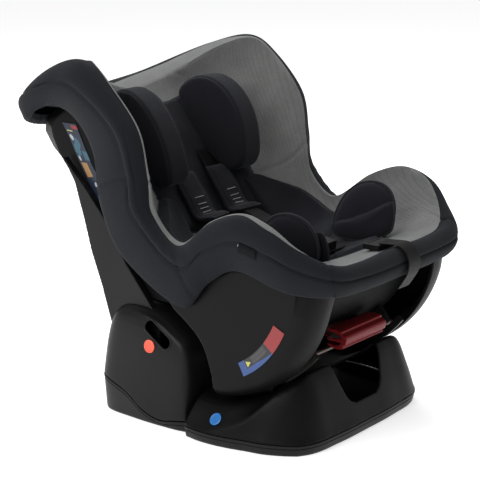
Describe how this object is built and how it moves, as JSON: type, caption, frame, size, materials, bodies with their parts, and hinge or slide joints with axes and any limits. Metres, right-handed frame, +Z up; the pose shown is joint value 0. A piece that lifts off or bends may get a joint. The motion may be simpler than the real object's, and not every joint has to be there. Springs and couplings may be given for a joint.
{
  "type": "convertible car seat",
  "caption": "Padded child car seat whose reclining bucket rides on arc skirts in a hollow base with a back support; harness, front pull handle and belt slots.",
  "frame": {"origin": "centre of the overall box in X and Y, on the floor under the base pan", "axes": "+X to the child's left, -Y to the front where the feet are, +Z up"},
  "size_m": [0.4676, 0.7088, 0.569],
  "materials": {
    "moulded plastic": "satin moulded",
    "rim fabric": "knitted, matte",
    "inner fabric": "quilted, matte",
    "insert fabric": "knitted, matte",
    "webbing": "woven, slightly glossy",
    "liner foam": "open foam",
    "plated steel": "plated",
    "red plastic": "satin",
    "orange film": "satin",
    "blue film": "satin",
    "label film": "printed film"
  },
  "bodies": {
    "base": {"base_pan": "moulded plastic", "base_front_housing": "moulded plastic", "base_rear_housing": "moulded plastic", "back_support": "moulded plastic", "belt_marker_orange_left": "orange film", "belt_marker_orange_right": "orange film", "belt_marker_blue_left": "blue film", "belt_marker_blue_right": "blue film", "recline_track_left": "plated steel", "recline_track_right": "plated steel"},
    "seat": {"seat_shell": "moulded plastic", "seat_back_housing": "moulded plastic", "seat_underside": "moulded plastic", "foam_liner": "liner foam", "cover_rim": "rim fabric", "cover_inner": "inner fabric", "insert_back": "insert fabric", "insert_seat": "insert fabric", "crotch_pad": "insert fabric", "crotch_strap": "webbing", "buckle_body": "moulded plastic", "adjuster_bezel": "moulded plastic", "adjuster_strap": "webbing", "information_label": "label film", "handle_spring": "plated steel", "side_skirt_left": "moulded plastic", "side_skirt_right": "moulded plastic", "head_pillow_left": "insert fabric", "head_pillow_right": "insert fabric", "hip_wing_left": "insert fabric", "hip_wing_right": "insert fabric", "thigh_wing_left": "insert fabric", "thigh_wing_right": "insert fabric", "shoulder_strap_left": "webbing", "shoulder_strap_right": "webbing", "shoulder_pad_left": "insert fabric", "shoulder_pad_right": "insert fabric", "lap_strap_left": "webbing", "lap_strap_right": "webbing", "buckle_tongue_left": "plated steel", "buckle_tongue_right": "plated steel", "recline_indicator_left": "label film", "recline_indicator_right": "label film", "rod_guide_left": "moulded plastic", "rod_guide_right": "moulded plastic"},
    "handle": {"recline_handle": "red plastic"},
    "lock_rod": {"lock_rod": "plated steel"},
    "buckle_button": {"buckle_button": "red plastic"},
    "adjuster_lever": {"adjuster_lever": "plated steel"}
  },
  "joints": [
    {"name": "seat_recline", "type": "hinge", "parent": "base", "child": "seat", "pos_m": [0, -0.1042, 0.273], "axis": [1, 0, 0], "range_deg": [0, 15]},
    {"name": "handle_pull", "type": "slide", "parent": "seat", "child": "handle", "axis": [0, -1, 0], "range_m": [0, 0.014], "stiffness_N_per_m": 400, "deforming": ["handle_spring"]},
    {"name": "lock_rod_lift", "type": "slide", "parent": "seat", "child": "lock_rod", "axis": [0, 0.6947, 0.7193], "range_m": [0, 0.006]},
    {"name": "buckle_press", "type": "slide", "parent": "seat", "child": "buckle_button", "axis": [0, 0.1392, -0.9903], "range_m": [0, 0.004], "stiffness_N_per_m": 800},
    {"name": "adjuster_press", "type": "hinge", "parent": "seat", "child": "adjuster_lever", "pos_m": [0.006, -0.2993, 0.2982], "axis": [-1, 0, 0], "range_deg": [0, 11], "stiffness_Nm_per_rad": 0.5}
  ],
  "couplings": [
    {"joint": "lock_rod_lift", "follows": "handle_pull", "ratio": 0.42}
  ]
}
